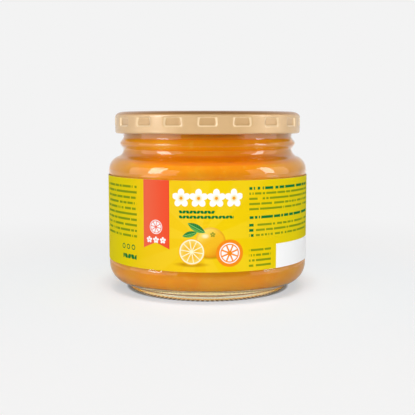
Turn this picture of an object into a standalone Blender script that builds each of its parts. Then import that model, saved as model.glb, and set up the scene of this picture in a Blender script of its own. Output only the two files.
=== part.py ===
"""A squat glass jar of citrus preserve, closed by a six-lug twist-off lid.

The jar stands on its base ring with +Z up. The origin is at the centre of the ring's underside, and the
front of the label faces -Y. The lid turns anticlockwise, seen from above, and climbs the glass threads.
"""

import math

import bmesh
import bpy

MM = 0.001
WELD = 0.001 * MM

# Glass, outside
GLASS_SEGMENTS = 48
BODY_R = 45.8 * MM
BEARING_IN_R = 33.4 * MM
BEARING_OUT_R = 35.7 * MM
FOOT_R = 36.6 * MM
FOOT_EDGE = 0.9 * MM
FOOT_H = 2.3 * MM
PUSH_UP_H = 2.6 * MM
PUSH_UP_EDGE_H = 1.7 * MM
PUSH_UP_EDGE_R = 32.2 * MM
HEEL_R = 8.8 * MM
HEEL_H = 11.6 * MM
HEEL_END_DEG = -80.0
SHOULDER_R = 6.8 * MM
SHOULDER_H = 54.4 * MM
SHOULDER_END_DEG = 70.5
NECK_R = 39.0 * MM
NECK_FILLET_R = 3.4 * MM
NECK_FILLET_H = 64.02 * MM
BEAD_R = 40.5 * MM
BEAD_H = 66.6 * MM
BEAD_HALF_H = 2.55 * MM
RIM_H = 79.3 * MM
RIM_EDGE_R = 1.3 * MM

# Glass, inside
WALL = 2.6 * MM
MOUTH_R = 35.6 * MM
INNER_HEEL_R = 6.8 * MM
INNER_FILLET_R = 5.4 * MM
FLOOR_H = 5.2 * MM
FLOOR_CROWN = 0.6 * MM

# Glass threads: one ridge for each lug of the lid
LUGS = 6
LUG_PITCH_DEG = 360.0 / LUGS
THREAD_LEAD = 22.0 * MM
THREAD_R = 40.5 * MM
THREAD_ROOT_R = 38.0 * MM
THREAD_H = 1.4 * MM
THREAD_SLOPE = 0.25 * MM
THREAD_BACK_DEG = 13.0
THREAD_SPAN_DEG = 57.0
THREAD_STEPS = 12
THREAD_END_DEG = 1.0
THREAD_OVER_LUG = 0.7 * MM

# Label
LABEL_LOW = 14.2 * MM
LABEL_HIGH = 52.4 * MM
LABEL_R = 46.0 * MM
LABEL_THICKNESS = 0.25 * MM
LABEL_RECESS = 0.35 * MM
LABEL_SEAM_SEGMENTS = 2

# Preserve
FIT_GAP = 0.3 * MM
FILL_H = 73.4 * MM

# Lid, measured up from its lower edge
LID_SEAT_H = 71.25 * MM
LID_H = 9.75 * MM
LID_R = 42.64 * MM
LID_WALL = 0.45 * MM
PANEL_H = 8.6 * MM
PANEL_R = 34.6 * MM
PANEL_RING_R = 36.2 * MM
PANEL_EDGE = 0.5 * MM
RING_OUT_R = 38.6 * MM
BUTTON_R = 15.5 * MM
BUTTON_STEP_R = 17.0 * MM
BUTTON_RISE = 0.3 * MM
BUTTON_DISH = 0.35 * MM
CURL_H = 1.75 * MM
CURL_IN_R = 40.95 * MM
CURL_TUCK = 0.1 * MM
CURL_ROUND = 0.5 * MM
LUG_IN_R = 39.6 * MM
LUG_LOW = 0.5 * MM
LUG_HIGH = 1.3 * MM
LUG_LIFT = 0.3 * MM
POCKETS = 18
ROWS_PER_POCKET = 6
POCKET_PITCH_DEG = 360.0 / POCKETS
POCKET_DEPTH = 0.7 * MM
POCKET_TOP = 7.3 * MM
POCKET_DEEP_TOP = 6.95 * MM
POCKET_DEEP_LOW = 5.05 * MM
POCKET_LOW = 3.05 * MM
POCKET_FLOOR_DEG = 4.03
POCKET_EDGE_DEG = 7.19

# Sealing ring under the lid's channel
SEAL_LOW = 79.55 * MM
SEAL_H = 0.6 * MM
SEAL_IN_R = 36.4 * MM
SEAL_OUT_R = 39.8 * MM
SEAL_EDGE = 0.25 * MM

FRONT_DEG = -90.0
SHARP_DEG = 40.0


def clear_scene():
    for item in list(bpy.data.objects):
        bpy.data.objects.remove(item, do_unlink=True)


def material(name, colour, roughness, metallic=0.0, transmission=0.0, alpha=1.0):
    made = bpy.data.materials.new(name)
    made.use_nodes = True
    shader = made.node_tree.nodes["Principled BSDF"]
    shader.inputs["Base Color"].default_value = (*colour, 1.0)
    shader.inputs["Roughness"].default_value = roughness
    shader.inputs["Metallic"].default_value = metallic
    shader.inputs["Transmission Weight"].default_value = transmission
    shader.inputs["Alpha"].default_value = alpha
    made.diffuse_color = (*colour, alpha)
    return made


def arc(centre_r, centre_h, radius, start_deg, end_deg, steps):
    """Points (r, h) along an arc in the plane of a turned profile, both ends included."""
    points = []
    for i in range(steps + 1):
        angle = math.radians(start_deg + (end_deg - start_deg) * i / steps)
        points.append((centre_r + radius * math.cos(angle), centre_h + radius * math.sin(angle)))
    return points


def spin_profile(mesh, profile, segments, closed, start_deg=0.0, sweep_deg=360.0):
    """Turns a profile of (r, h) points about the Z axis; a closed profile joins its ends."""
    turn = math.radians(start_deg)
    verts = [mesh.verts.new((r * math.cos(turn), r * math.sin(turn), h)) for r, h in profile]
    edges = [mesh.edges.new(pair) for pair in zip(verts, verts[1:])]
    if closed:
        edges.append(mesh.edges.new((verts[-1], verts[0])))
    full = sweep_deg >= 360.0
    caps = [] if full else [mesh.faces.new(verts)]
    bmesh.ops.spin(
        mesh,
        geom=verts + edges + caps,
        cent=(0.0, 0.0, 0.0),
        axis=(0.0, 0.0, 1.0),
        angle=math.radians(sweep_deg),
        steps=segments,
        use_merge=full,
    )
    bmesh.ops.remove_doubles(mesh, verts=mesh.verts, dist=WELD)
    bmesh.ops.recalc_face_normals(mesh, faces=mesh.faces)


def finish_object(name, mesh, surface, parent, height=0.0):
    data = bpy.data.meshes.new(name)
    mesh.to_mesh(data)
    mesh.free()
    data.materials.append(surface)
    data.shade_smooth()
    data.set_sharp_from_angle(angle=math.radians(SHARP_DEG))
    made = bpy.data.objects.new(name, data)
    made.location = (0.0, 0.0, height)
    made.parent = parent
    bpy.context.scene.collection.objects.link(made)
    return made


def empty(name, parent, height):
    made = bpy.data.objects.new(name, None)
    made.empty_display_size = 10 * MM
    made.location = (0.0, 0.0, height)
    made.parent = parent
    bpy.context.scene.collection.objects.link(made)
    return made


def bead_profile(steps=6):
    """The rounded transfer bead round the neck, from its foot to its top."""
    points = []
    for i in range(steps + 1):
        across = -1.0 + 2.0 * i / steps
        swell = max(0.0, math.cos(across * math.pi / 2)) ** 1.5
        points.append((NECK_R + (BEAD_R - NECK_R) * swell, BEAD_H + across * BEAD_HALF_H))
    return points


def glass_outside():
    """From the middle of the push-up, over the base ring, heel, label panel and shoulder, up the neck."""
    panel_r = BODY_R - LABEL_RECESS
    points = [(0.0, PUSH_UP_H), (PUSH_UP_EDGE_R, PUSH_UP_EDGE_H), (BEARING_IN_R, 0.0)]
    points += [(BEARING_OUT_R, 0.0), (FOOT_R, FOOT_EDGE), (FOOT_R, FOOT_H)]
    points += arc(BODY_R - HEEL_R, HEEL_H, HEEL_R, HEEL_END_DEG, 0.0, 6)
    points += [(BODY_R, LABEL_LOW - 2 * LABEL_RECESS), (panel_r, LABEL_LOW - LABEL_RECESS)]
    points += [(panel_r, LABEL_HIGH + LABEL_RECESS), (BODY_R, LABEL_HIGH + 2 * LABEL_RECESS)]
    points += arc(BODY_R - SHOULDER_R, SHOULDER_H, SHOULDER_R, 0.0, SHOULDER_END_DEG, 5)
    fillet_r = NECK_R + NECK_FILLET_R
    points += arc(fillet_r, NECK_FILLET_H, NECK_FILLET_R, 180.0 + SHOULDER_END_DEG, 180.0, 3)
    points += bead_profile()
    points += arc(NECK_R - RIM_EDGE_R, RIM_H - RIM_EDGE_R, RIM_EDGE_R, 0.0, 90.0, 3)
    return points


def chamber(gap):
    """The inside of the glass from the neck down to the floor, drawn in by a gap all round."""
    inner_r = BODY_R - WALL - gap
    neck_arc_r = INNER_FILLET_R + gap
    shoulder_arc_r = SHOULDER_R - WALL - gap
    heel_arc_r = INNER_HEEL_R - gap
    neck_r = MOUTH_R - gap
    points = arc(neck_r + neck_arc_r, NECK_FILLET_H, neck_arc_r, 180.0, 180.0 + SHOULDER_END_DEG, 3)
    points += arc(inner_r - shoulder_arc_r, SHOULDER_H, shoulder_arc_r, SHOULDER_END_DEG, 0.0, 3)
    heel_h = FLOOR_H + INNER_HEEL_R
    points += arc(inner_r - heel_arc_r, heel_h, heel_arc_r, 0.0, -90.0, 4)
    points.append((0.0, FLOOR_H + FLOOR_CROWN + gap))
    return points


def thread_ridges(parent):
    """Six helical ridges. The lid's lugs slide along under them."""
    mesh = bmesh.new()
    rise = THREAD_LEAD * THREAD_SPAN_DEG / 360.0
    under = LID_SEAT_H + LUG_HIGH + THREAD_OVER_LUG - THREAD_LEAD * THREAD_BACK_DEG / 360.0
    section = [(THREAD_ROOT_R, under - THREAD_SLOPE), (THREAD_R, under + THREAD_SLOPE)]
    section += [(THREAD_R, under + THREAD_H - THREAD_SLOPE), (THREAD_ROOT_R, under + THREAD_H + THREAD_SLOPE)]
    for index in range(LUGS):
        start = math.radians(LUG_PITCH_DEG * index - THREAD_BACK_DEG)
        corners = [mesh.verts.new((r * math.cos(start), r * math.sin(start), h)) for r, h in section]
        face = mesh.faces.new(corners)
        bmesh.ops.spin(
            mesh,
            geom=[face],
            cent=(0.0, 0.0, 0.0),
            axis=(0.0, 0.0, 1.0),
            dvec=(0.0, 0.0, rise / THREAD_STEPS),
            angle=math.radians(THREAD_SPAN_DEG),
            steps=THREAD_STEPS,
        )
    bmesh.ops.remove_doubles(mesh, verts=mesh.verts, dist=WELD)
    for vert in mesh.verts:
        angle = math.degrees(math.atan2(vert.co.y, vert.co.x)) + THREAD_BACK_DEG
        along = angle % LUG_PITCH_DEG
        radius = math.hypot(vert.co.x, vert.co.y)
        at_end = along < THREAD_END_DEG or along > THREAD_SPAN_DEG - THREAD_END_DEG
        if at_end and radius > NECK_R:
            sunk = (THREAD_ROOT_R + NECK_R) / 2 / radius
            vert.co.x *= sunk
            vert.co.y *= sunk
    bmesh.ops.recalc_face_normals(mesh, faces=mesh.faces)
    made = finish_object("thread_ridges", mesh, bpy.data.materials["clear_glass"], parent)
    made.hide_render = True
    made.display_type = "WIRE"
    return made


def glass_jar(parent):
    mesh = bmesh.new()
    profile = glass_outside()
    profile += arc(MOUTH_R + RIM_EDGE_R, RIM_H - RIM_EDGE_R, RIM_EDGE_R, 90.0, 180.0, 3)
    profile += chamber(0.0)
    spin_profile(mesh, profile, GLASS_SEGMENTS, closed=False)
    surface = material("clear_glass", (0.86, 0.93, 0.88), 0.03, transmission=1.0)
    made = finish_object("glass_jar", mesh, surface, parent)
    join = made.modifiers.new("threads", "BOOLEAN")
    join.operation = "UNION"
    join.solver = "EXACT"
    join.object = thread_ridges(parent)
    return made


def preserve(parent):
    mesh = bmesh.new()
    neck_r = MOUTH_R - FIT_GAP
    profile = [(0.0, FILL_H), (neck_r, FILL_H)] + chamber(FIT_GAP)
    spin_profile(mesh, profile, GLASS_SEGMENTS, closed=False)
    surface = material("citrus_preserve", (0.87, 0.36, 0.04), 0.3)
    return finish_object("preserve", mesh, surface, parent)


def label(parent):
    mesh = bmesh.new()
    inner_r = LABEL_R - LABEL_THICKNESS
    profile = [(inner_r, LABEL_LOW), (LABEL_R, LABEL_LOW), (LABEL_R, LABEL_HIGH), (inner_r, LABEL_HIGH)]
    seam_deg = 360.0 * LABEL_SEAM_SEGMENTS / GLASS_SEGMENTS
    spin_profile(
        mesh,
        profile,
        GLASS_SEGMENTS - LABEL_SEAM_SEGMENTS,
        closed=True,
        start_deg=FRONT_DEG + 180.0 + seam_deg / 2,
        sweep_deg=360.0 - seam_deg,
    )
    surface = material("label_paper", (0.92, 0.62, 0.04), 0.45)
    return finish_object("label", mesh, surface, parent)


def lid_corner(wall, steps):
    """The rounded corner between the top ring and the skirt, from the ring outwards, a wall further in."""
    across = LID_R - RING_OUT_R - wall
    up = LID_H - POCKET_TOP - wall
    turns = [math.radians(90.0 * i / steps) for i in range(steps + 1)]
    return [(RING_OUT_R + across * math.sin(t), POCKET_TOP + up * math.cos(t)) for t in turns]


def lid_profile():
    """From the middle of the top, over the channel, down the skirt, round the curl and back inside."""
    under_panel = PANEL_H - LID_WALL
    under_ring = LID_H - LID_WALL
    inner_r = LID_R - LID_WALL
    top = [(0.0, PANEL_H - BUTTON_DISH), (BUTTON_R, PANEL_H + BUTTON_RISE), (BUTTON_STEP_R, PANEL_H)]
    top += [(PANEL_R, PANEL_H), (PANEL_RING_R, LID_H - PANEL_EDGE / 3)]
    top += [(PANEL_RING_R + PANEL_EDGE, LID_H)] + lid_corner(0.0, 3)
    skirt = [(LID_R, h) for h in (POCKET_DEEP_TOP, POCKET_DEEP_LOW, POCKET_LOW)]
    curl_out_r = LID_R - CURL_TUCK
    curl = [(curl_out_r, LUG_HIGH), (curl_out_r - CURL_ROUND, 0.0), (CURL_IN_R + CURL_ROUND, 0.0)]
    curl += [(CURL_IN_R, LUG_LOW), (CURL_IN_R, LUG_HIGH), (inner_r, CURL_H + LUG_LOW)]
    inside = [(inner_r, h) for h in (POCKET_LOW, POCKET_DEEP_LOW, POCKET_DEEP_TOP)]
    inside += reversed(lid_corner(LID_WALL, 2))
    inside += [(PANEL_RING_R + PANEL_EDGE, under_ring), (PANEL_R + PANEL_EDGE / 2, under_panel)]
    inside += [(0.0, under_panel - BUTTON_DISH)]
    return top + skirt + curl + inside


def ramp(value, low, high):
    """0 at low and beyond, 1 at high and beyond, for low under or over high."""
    return min(1.0, max(0.0, (value - low) / (high - low)))


def press_lid(mesh):
    """Sets the rows of points to the pockets' edges, sinks the pockets and draws the lugs in."""
    marks = (0.0, POCKET_FLOOR_DEG, POCKET_EDGE_DEG, POCKET_PITCH_DEG / 2)
    marks += (POCKET_PITCH_DEG - POCKET_EDGE_DEG, POCKET_PITCH_DEG - POCKET_FLOOR_DEG)
    step = POCKET_PITCH_DEG / len(marks)
    full_lug_deg = POCKET_PITCH_DEG / 2 - POCKET_FLOOR_DEG
    for vert in mesh.verts:
        radius = math.hypot(vert.co.x, vert.co.y)
        if radius < BUTTON_R / 2:
            continue
        height = vert.co.z
        row = round((math.degrees(math.atan2(vert.co.y, vert.co.x)) - FRONT_DEG) / step)
        pocket, mark = divmod(row, len(marks))
        angle = pocket * POCKET_PITCH_DEG + marks[mark]
        off = abs((angle + POCKET_PITCH_DEG / 2) % POCKET_PITCH_DEG - POCKET_PITCH_DEG / 2)
        if radius > LID_R - 2 * LID_WALL and POCKET_LOW <= height <= POCKET_TOP:
            down = min(ramp(height, POCKET_TOP, POCKET_DEEP_TOP), ramp(height, POCKET_LOW, POCKET_DEEP_LOW))
            radius -= POCKET_DEPTH * down * ramp(off, POCKET_EDGE_DEG, POCKET_FLOOR_DEG)
        from_lug = abs((angle + LUG_PITCH_DEG) % LUG_PITCH_DEG - LUG_PITCH_DEG / 2)
        lug = ramp(from_lug, POCKET_PITCH_DEG / 2, full_lug_deg)
        if height < LUG_LOW / 2:
            height += LUG_LIFT * lug
        elif height < CURL_H and radius < CURL_IN_R + WELD:
            radius -= (CURL_IN_R - LUG_IN_R) * lug
        turn = math.radians(angle + FRONT_DEG)
        vert.co = (radius * math.cos(turn), radius * math.sin(turn), height)


def lid(parent):
    mesh = bmesh.new()
    spin_profile(mesh, lid_profile(), POCKETS * ROWS_PER_POCKET, closed=False, start_deg=FRONT_DEG)
    press_lid(mesh)
    surface = material("gold_lacquer", (0.80, 0.61, 0.34), 0.28, metallic=1.0)
    return finish_object("lid", mesh, surface, parent)


def lid_gasket(parent):
    mesh = bmesh.new()
    profile = [(SEAL_IN_R, 0.0), (SEAL_OUT_R, 0.0), (SEAL_OUT_R, SEAL_H - 2 * SEAL_EDGE)]
    profile += [(SEAL_OUT_R - 2 * SEAL_EDGE, SEAL_H), (SEAL_IN_R + SEAL_EDGE, SEAL_H)]
    profile.append((SEAL_IN_R, SEAL_H / 2))
    spin_profile(mesh, profile, GLASS_SEGMENTS, closed=True)
    surface = material("sealing_compound", (0.82, 0.80, 0.74), 0.55)
    return finish_object("lid_gasket", mesh, surface, parent, height=SEAL_LOW - LID_SEAT_H)


def main():
    clear_scene()
    jar = empty("jar_root", None, 0.0)
    rise = empty("lid_rise_axis", jar, LID_SEAT_H)
    turn = empty("lid_turn_axis", rise, 0.0)
    glass_jar(jar)
    preserve(jar)
    label(jar)
    lid_gasket(rise)
    lid(turn)


main()
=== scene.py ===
"""Looks of a squat glass jar of citrus preserve: its glass, filling, printed label, pressed lid and seal.

Laid out as an add-on and run as a script. Lengths are in metres, +Z is up, and the label faces -Y.
"""

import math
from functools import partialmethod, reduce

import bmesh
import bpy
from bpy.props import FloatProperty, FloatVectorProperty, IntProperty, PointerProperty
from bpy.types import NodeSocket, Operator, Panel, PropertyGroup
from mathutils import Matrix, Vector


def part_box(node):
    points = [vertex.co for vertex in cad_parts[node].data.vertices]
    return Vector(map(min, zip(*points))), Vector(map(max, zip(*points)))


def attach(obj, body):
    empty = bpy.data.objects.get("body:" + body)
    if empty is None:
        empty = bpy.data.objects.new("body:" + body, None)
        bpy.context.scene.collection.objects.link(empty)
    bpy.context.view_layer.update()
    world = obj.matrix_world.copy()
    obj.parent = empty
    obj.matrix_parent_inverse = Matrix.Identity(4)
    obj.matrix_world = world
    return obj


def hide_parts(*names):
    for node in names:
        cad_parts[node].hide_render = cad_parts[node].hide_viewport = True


bl_info = {
    "name": "Preserve Jar",
    "version": (1, 0, 0),
    "blender": (4, 5, 0),
    "location": "3D View > Sidebar > Preserve Jar",
    "description": "Builds a glass jar of citrus preserve with its label, lid, seal and studio",
    "category": "Object",
}

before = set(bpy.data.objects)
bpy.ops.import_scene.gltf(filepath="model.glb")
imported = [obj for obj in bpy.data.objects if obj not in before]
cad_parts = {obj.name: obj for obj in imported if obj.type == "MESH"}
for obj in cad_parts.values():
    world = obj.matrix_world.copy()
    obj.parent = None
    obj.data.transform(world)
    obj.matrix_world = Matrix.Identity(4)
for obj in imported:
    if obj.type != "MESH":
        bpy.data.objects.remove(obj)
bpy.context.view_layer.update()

MM = 0.001
WELD = 0.0005 * MM       # points nearer than this are one
WEDGES = 16              # wedges of a full turn, a power of two
IMAGE_PX = 415           # width of the picture

GLASS_LOW, GLASS_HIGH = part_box("glass_jar")
FILL_LOW, FILL_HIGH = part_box("preserve")
LABEL_LOW, LABEL_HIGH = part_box("label")
LID_LOW, LID_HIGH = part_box("lid")
SEAL_LOW, SEAL_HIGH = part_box("lid_gasket")
FRONT_DEG = -90.0
JAR_MIDDLE_H = 45.0 * MM

# Turned outlines: the shoulder and neck fillet of both faces of the glass, its rim and its base ring
SHOULDER_R = 6.8 * MM
SHOULDER_H = 54.4 * MM
SHOULDER_TURN_DEG = 70.5
NECK_FILLET_H = 64.02 * MM
RIM_EDGE = 1.3 * MM
BEARING_IN_R = 33.4 * MM
FOOT_EDGE = 0.9 * MM

# The preserve wets the wall down to here round the heel, and stays off the glass floor
WETTED_DEG = -57.0

# Neck and threads, shared by the glass and the lid that runs on it
LUGS = 6
LUG_PITCH_DEG = 360.0 / LUGS
THREAD_LEAD = 22.0 * MM
THREAD_BACK_DEG = 13.0
THREAD_SPAN_DEG = 57.0
THREAD_FADE_DEG = 5.0
THREAD_MID_H = LID_LOW.z + 2.7 * MM
THREAD_HALF_H = 1.0 * MM
THREADS_FROM_H = 69.7 * MM

# Rolled edge of the lid, from which the lugs are drawn
CURL_R = 0.86 * MM
CURL_SET_BACK = 0.06 * MM

# Pressed pockets round the lid
POCKETS = 18
POCKET_PITCH_DEG = 360.0 / POCKETS
POCKET_FLOOR_DEG = 3.8
POCKET_WALL_DEG = 2.3
POCKET_HEIGHTS = tuple(h * MM for h in (7.35, 6.9, 4.2, 2.9))

# Rings of painted shade in the preserve round the neck, where the lid and the bead darken it: low, high and
# share, in millimetres of height
NECK_SHADE_RINGS = ((57.6, 61.5, 0.85), (64.8, 65.8, 1.0), (68.0, 69.0, 1.0))

# Blocks of plain bars on the label: left, right, top, pitch, rows and seed, in millimetres
BAR_CELL = 0.62
FAINT_BARS = (
    (-60.0, -32.8, 35.9, 2.36, 10.0, 3.0),
    (17.8, 62.0, 33.6, 2.16, 4.0, 21.0),
    (21.0, 62.0, 20.4, 2.16, 3.0, 40.0),
    (17.8, 28.8, 9.9, 2.2, 4.0, 61.0),
    (-126.0, -70.0, 35.9, 2.36, 14.0, 80.0),
    (70.0, 126.0, 35.9, 2.36, 9.0, 99.0),
)
STRONG_BARS = (
    (17.8, 62.0, 35.8, 2.16, 1.0, 12.0),
    (17.8, 62.0, 23.6, 2.16, 1.0, 33.0),
    (17.8, 19.9, 20.4, 2.16, 3.0, 7.0),
)

# Middles of the three small rings along the label, in millimetres, and the inks' white
RINGS_U = (-42.0, -38.6, -35.2)
WHITE = (1.0, 1.0, 1.0)

# Bright strips in the floor that the jar mirrors: turn from the front and half width in radians, level
GLARE_STRIPS = ((-1.09, 0.24, 2.6), (1.26, 0.22, 2.0))


def srgb(red, green, blue):
    """A display colour, 0 to 255 a channel, as the linear colour that shaders take."""
    channels = []
    for value in (red / 255.0, green / 255.0, blue / 255.0):
        channels.append(value / 12.92 if value <= 0.04045 else ((value + 0.055) / 1.055) ** 2.4)
    return tuple(channels)


def length_property(name, description, value):
    return FloatProperty(name=name, description=description, default=value, unit="LENGTH", precision=5)


def plain_property(name, description, value):
    return FloatProperty(name=name, description=description, default=value)


def angle_property(name, description, degrees):
    return FloatProperty(name=name, description=description, default=math.radians(degrees), subtype="ANGLE")


def count_property(name, description, value, least):
    return IntProperty(name=name, description=description, default=value, min=least)


def colour_property(name, description, value):
    return FloatVectorProperty(
        name=name, description=description, default=value, subtype="COLOR", size=3, min=0.0, max=1.0
    )


class GlassSettings(PropertyGroup):
    """Sizes and tint of the jar."""

    body_r: length_property("Body radius", "Radius of the glass body", GLASS_HIGH.x)
    wall: length_property("Wall", "Thickness of the body's wall", 2.6 * MM)
    rim_h: length_property("Rim height", "Height of the sealing rim", GLASS_HIGH.z)
    neck_r: length_property("Neck radius", "Outer radius of the neck", 39.0 * MM)
    mouth_r: length_property("Mouth radius", "Inner radius of the neck", 35.6 * MM)
    foot_r: length_property("Foot radius", "Outer radius of the base ring", 36.6 * MM)
    bead_r: length_property("Bead radius", "Outer radius of the bead round the neck", 40.5 * MM)
    thread_rise: length_property("Thread rise", "How far the threads stand out", 1.6 * MM)
    segments: count_property("Segments", "Steps round the jar", 432, 48)
    ribs: count_property("Base ribs", "Small ribs under the base ring", 108, 24)
    tint: colour_property("Tint", "Faint cast of the glass", (0.978, 0.984, 0.88))


class FillSettings(PropertyGroup):
    """Sizes and colours of the preserve."""

    fill_h: length_property("Fill height", "Height of the preserve's surface", FILL_HIGH.z)
    segments: count_property("Segments", "Steps round the preserve", 192, 48)
    deep: colour_property("Deep orange", "Colour of the thick jelly", srgb(252, 157, 3))
    # Painted shade: a duller orange towards the sides
    side_shade: colour_property("Flank orange", "Duller colour towards the sides", srgb(214, 147, 8))
    # Painted shade: a deeper orange for rings round the neck
    neck_shade: colour_property("Settled orange", "Deeper rings round the neck", srgb(252, 139, 0))
    pale: colour_property("Pale orange", "Colour of the milky clouds in it", srgb(250, 176, 34))


class LabelSettings(PropertyGroup):
    """Sizes and inks of the paper label."""

    low_h: length_property("Lower edge", "Height of the label's lower edge", LABEL_LOW.z)
    high_h: length_property("Upper edge", "Height of the label's upper edge", LABEL_HIGH.z)
    outer_r: length_property("Radius", "Outer radius of the wrapped label", LABEL_HIGH.x)
    thickness: length_property("Thickness", "Thickness of the sheet", 0.22 * MM)
    seam: angle_property("Seam", "Bare angle at the back", 15.0)
    segments: count_property("Segments", "Steps along the wrap", 230, 24)
    yellow: colour_property("Yellow", "Bright yellow of the field", srgb(242, 206, 8))
    amber: colour_property("Amber", "Warmer yellow behind the fruit", srgb(246, 202, 26))
    # Partly painted shade: the sides are darker than the print alone
    lime: colour_property("Lime yellow", "Cooler yellow at the sides", srgb(231, 212, 6))
    red: colour_property("Red", "Red of the ribbon", srgb(244, 84, 50))
    orange: colour_property("Orange", "Orange of the round badge", srgb(247, 142, 26))
    green: colour_property("Green", "Green of the small rows", srgb(88, 138, 20))
    leaf: colour_property("Leaf green", "Green of leaves and strong rows", srgb(16, 122, 52))


class LidSettings(PropertyGroup):
    """Sizes and lacquer of the pressed lid."""

    outer_r: length_property("Radius", "Outer radius of the skirt", 42.64 * MM)
    height: length_property("Height", "Height of the lid", LID_HIGH.z - LID_LOW.z)
    wall: length_property("Wall", "Thickness of the sheet", 0.45 * MM)
    pocket_depth: length_property("Pocket depth", "Depth of the pressed pockets", 1.0 * MM)
    lug_in_r: length_property("Lug radius", "Inner radius of the six lugs", 39.6 * MM)
    rows: count_property("Rows per pocket", "Steps round each pocket", 24, 6)
    gold: colour_property("Gold", "Champagne gold lacquer", srgb(219, 179, 124))


class StudioSettings(PropertyGroup):
    """Camera, floor and lights."""

    camera_distance: length_property("Camera distance", "From the jar's axis", 368.0 * MM)
    camera_h: length_property("Camera height", "Above the floor", 76.3 * MM)
    camera_pitch: angle_property("Camera pitch", "How far it looks down", 6.19)
    focal_px: plain_property("Focal length", "In pixels of the picture", 787.6)
    floor_colour: colour_property("Floor", "Plain pale floor", srgb(243, 243, 243))
    floor_glow: plain_property("Floor glow", "Share of its own light", 0.35)
    side_level: plain_property("Side lights", "Radiance of the side softboxes", 8.5)
    glow_level: plain_property("Glow", "Radiance round the side softboxes", 1.5)
    floor_light: plain_property("Floor light", "Light that reaches the floor", 0.73)
    key_level: plain_property("Key light", "Radiance of the key softbox", 2.6)
    top_level: plain_property("Top light", "Radiance of the top softbox", 20.0)
    room_level: plain_property("Room", "Radiance of the room on matt surfaces", 0.55)
    front_level: plain_property("Front wall", "Radiance mirrored from the front", 0.15)
    ceiling_level: plain_property("Ceiling", "Radiance mirrored from overhead", 0.25)
    back_level: plain_property("Back wall", "Radiance mirrored from behind", 0.95)


class PreserveJarSettings(PropertyGroup):
    """All settings of the jar."""

    glass: PointerProperty(type=GlassSettings)
    fill: PointerProperty(type=FillSettings)
    label: PointerProperty(type=LabelSettings)
    lid: PointerProperty(type=LidSettings)
    studio: PointerProperty(type=StudioSettings)


def clamp(value):
    """The value kept between 0 and 1."""
    return min(1.0, max(0.0, value))


def smooth(value, low, high):
    """Eases from 0 at low to 1 at high, also where low is over high."""
    part = clamp((value - low) / (high - low))
    return part * part * (3.0 - 2.0 * part)


def arc(centre_r, centre_h, radius, start_deg, end_deg, steps):
    """Points (r, h) along an arc in the plane of a turned outline, both ends included."""
    turns = [math.radians(start_deg + (end_deg - start_deg) * i / steps) for i in range(steps + 1)]
    return [(centre_r + radius * math.cos(t), centre_h + radius * math.sin(t)) for t in turns]


def eased(start, end, steps):
    """A soft step between two level stretches of an outline, both ends included."""
    points = []
    for i in range(steps + 1):
        part = i / steps
        rise = smooth(part, 0.0, 1.0)
        points.append((start[0] + (end[0] - start[0]) * part, start[1] + (end[1] - start[1]) * rise))
    return points


def straight(start, end, steps):
    """Evenly spaced points after start, up to and with end."""
    parts = [(i + 1) / steps for i in range(steps)]
    return [(start[0] + (end[0] - start[0]) * p, start[1] + (end[1] - start[1]) * p) for p in parts]


def turned(outline, segments, closed=False, start_deg=FRONT_DEG, sweep_deg=360.0):
    """Spins an outline of (r, h) points about the jar's axis into a closed body.

    A full turn is spun as one wedge, which is then doubled until it closes.
    """
    mesh = bmesh.new()
    turn = math.radians(start_deg)
    points = [outline[0]] + [p for q, p in zip(outline, outline[1:]) if math.dist(p, q) > WELD]
    verts = [mesh.verts.new((r * math.cos(turn), r * math.sin(turn), h)) for r, h in points]
    edges = [mesh.edges.new(pair) for pair in zip(verts, verts[1:])]
    if closed:
        edges.append(mesh.edges.new((verts[-1], verts[0])))
    full = sweep_deg >= 360.0
    wedges = WEDGES if full else 1
    angle = math.radians(sweep_deg) / wedges
    caps = [] if full else [mesh.faces.new(verts)]
    bmesh.ops.spin(
        mesh,
        geom=verts + edges + caps,
        cent=(0.0, 0.0, 0.0),
        axis=(0.0, 0.0, 1.0),
        angle=angle,
        steps=segments // wedges,
        use_merge=False,
    )
    while wedges > 1:
        copied = bmesh.ops.duplicate(mesh, geom=mesh.verts[:] + mesh.edges[:] + mesh.faces[:])["geom"]
        moved = [item for item in copied if isinstance(item, bmesh.types.BMVert)]
        bmesh.ops.rotate(mesh, verts=moved, cent=(0.0, 0.0, 0.0), matrix=Matrix.Rotation(angle, 3, "Z"))
        angle, wedges = angle * 2, wedges // 2
    bmesh.ops.remove_doubles(mesh, verts=mesh.verts, dist=WELD)
    bmesh.ops.recalc_face_normals(mesh, faces=mesh.faces)
    return mesh


def move_point(vert, radius, angle_deg, height):
    """Puts a point at a radius, angle and height."""
    turn = math.radians(angle_deg)
    vert.co = (radius * math.cos(turn), radius * math.sin(turn), height)


def round_place(vert):
    """Radius, angle in degrees and height of a point."""
    return math.hypot(vert.co.x, vert.co.y), math.degrees(math.atan2(vert.co.y, vert.co.x)), vert.co.z


def placed(name, mesh, surfaces):
    """A new object in the scene, made of a mesh and its surfaces."""
    data = bpy.data.meshes.new(name)
    mesh.to_mesh(data)
    mesh.free()
    for surface in surfaces:
        data.materials.append(surface)
    piece = bpy.data.objects.new(name, data)
    bpy.context.scene.collection.objects.link(piece)
    return piece


def finished(name, mesh, surfaces, body, node, sharp_deg=50.0):
    """Puts a finished piece into the scene in the place of its CAD node."""
    piece = placed(name, mesh, surfaces)
    piece.data.shade_smooth()
    piece.data.set_sharp_from_angle(angle=math.radians(sharp_deg))
    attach(piece, body)
    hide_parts(node)


def plug(value, socket):
    """Gives a socket what another socket, a number or a print carries, or else a fixed value."""
    source = getattr(value, "source", value)
    if isinstance(source, NodeSocket):
        socket.id_data.links.new(source, socket)
    else:
        socket.default_value = value


def grown(near, kind, inputs, **options):
    """A new node in the tree that near belongs to, with inputs by name or number and options by name."""
    node = getattr(near, "source", near).id_data.nodes.new(kind)
    for name, value in options.items():
        setattr(node, name, value)
    for key, value in inputs.items():
        plug(value, node.inputs[key])
    return node


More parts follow.
